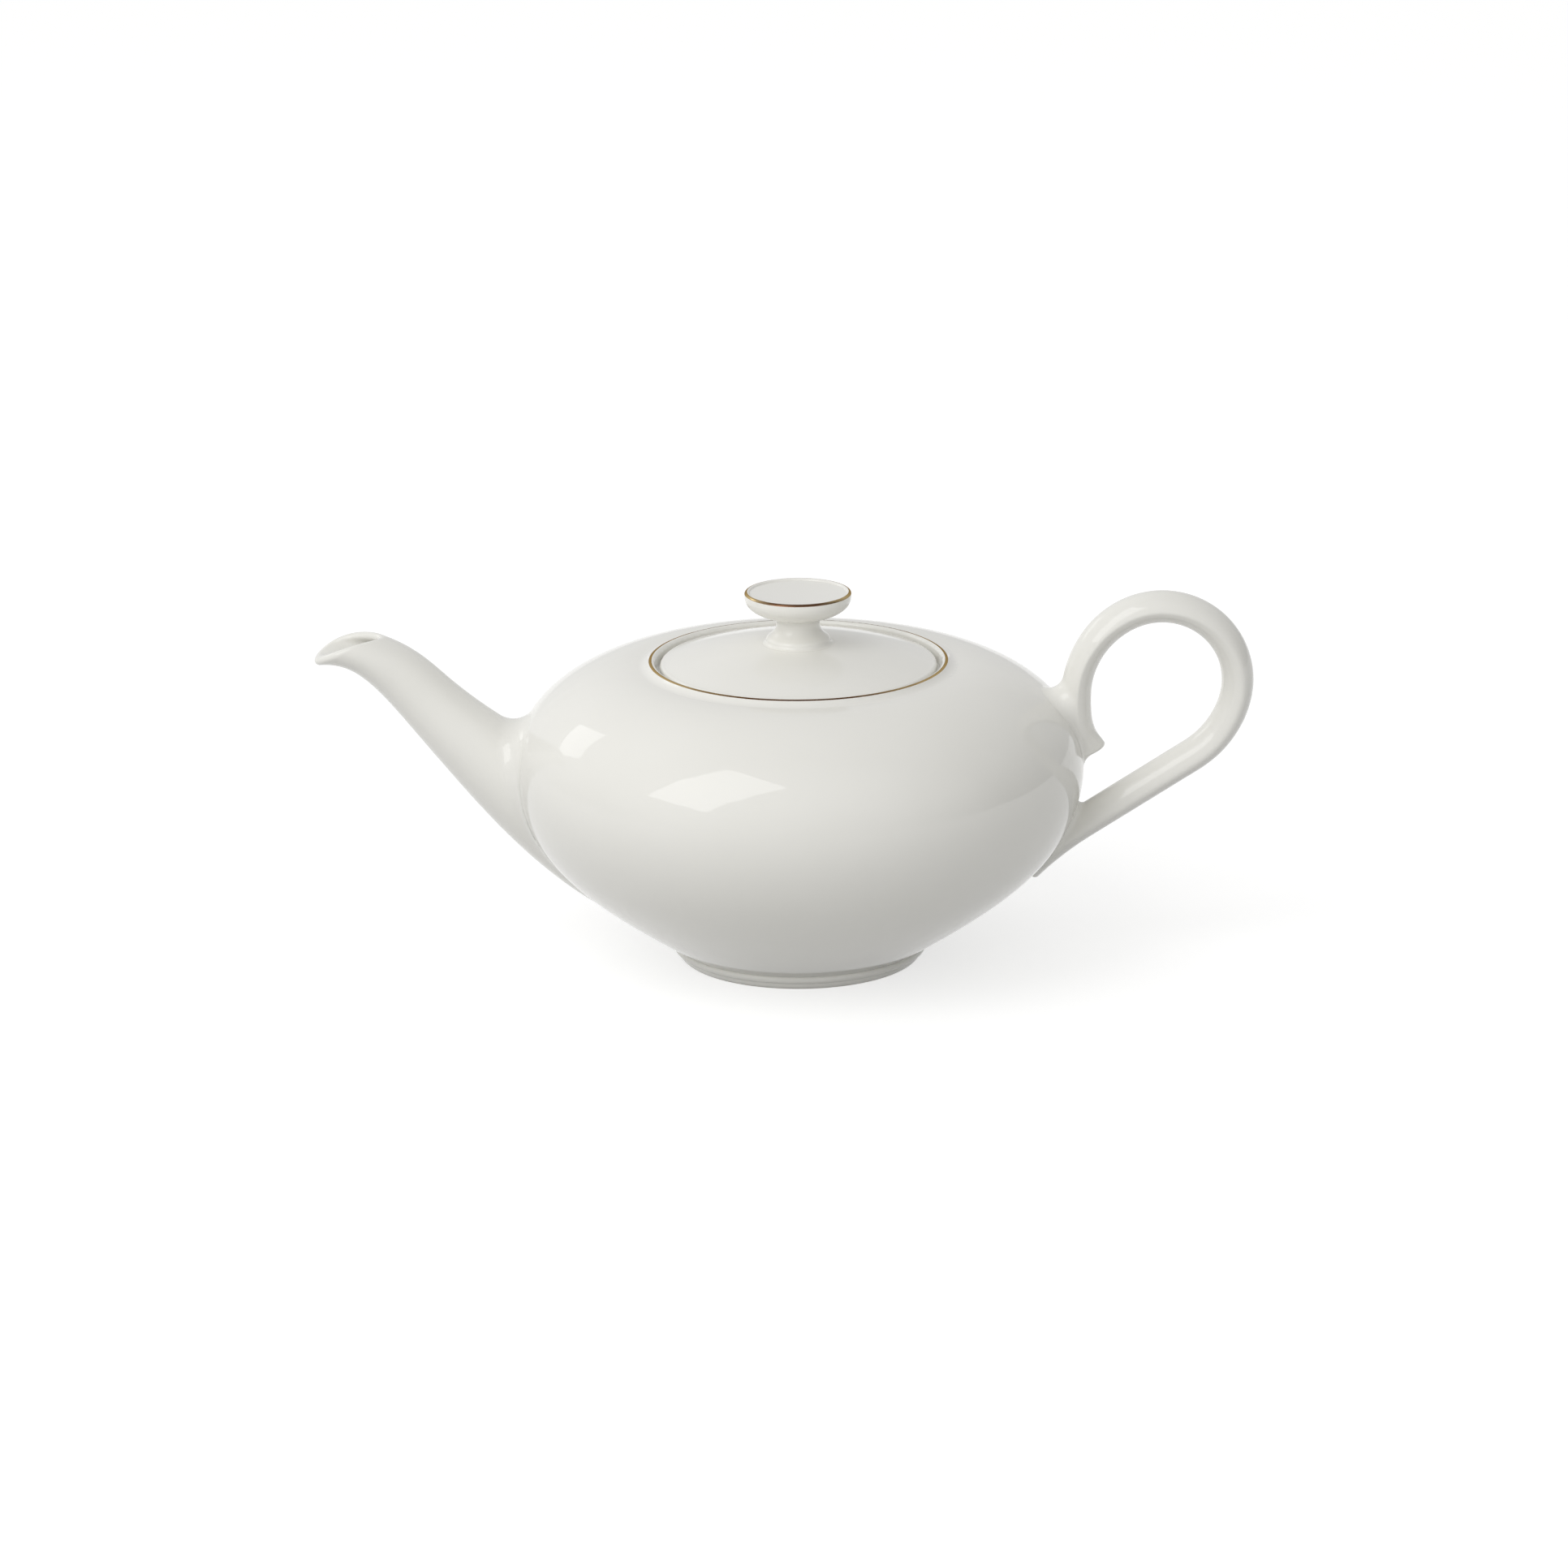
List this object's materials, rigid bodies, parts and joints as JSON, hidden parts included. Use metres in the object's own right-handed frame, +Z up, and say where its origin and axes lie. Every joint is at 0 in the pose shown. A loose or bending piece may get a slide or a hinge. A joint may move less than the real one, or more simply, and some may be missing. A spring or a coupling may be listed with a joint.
{
  "type": "teapot",
  "caption": "Round white porcelain teapot with a hollow spout, a looped strap handle, a lift-off lid with a mushroom knob and fine gold lines, standing on a foot ring.",
  "frame": {"origin": "centre of the foot ring's standing face, on the table", "axes": "+Z up along the pot's axis, spout towards -X, handle towards +X, +Y to the far side"},
  "size_m": [0.2591, 0.1578, 0.1043],
  "materials": {
    "porcelain": "gloss",
    "gold": "gloss"
  },
  "bodies": {
    "pot": {"pot_body": "porcelain", "foot_ring": "porcelain", "spout": "porcelain", "strainer": "porcelain", "handle": "porcelain", "mouth_gold_line": "gold"},
    "lid": {"lid": "porcelain", "knob": "porcelain", "knob_gold_line": "gold"}
  },
  "joints": [
    {"name": "lid_lift", "type": "slide", "parent": "pot", "child": "lid", "axis": [0, 0, 1], "range_m": [0, 0.07]}
  ]
}
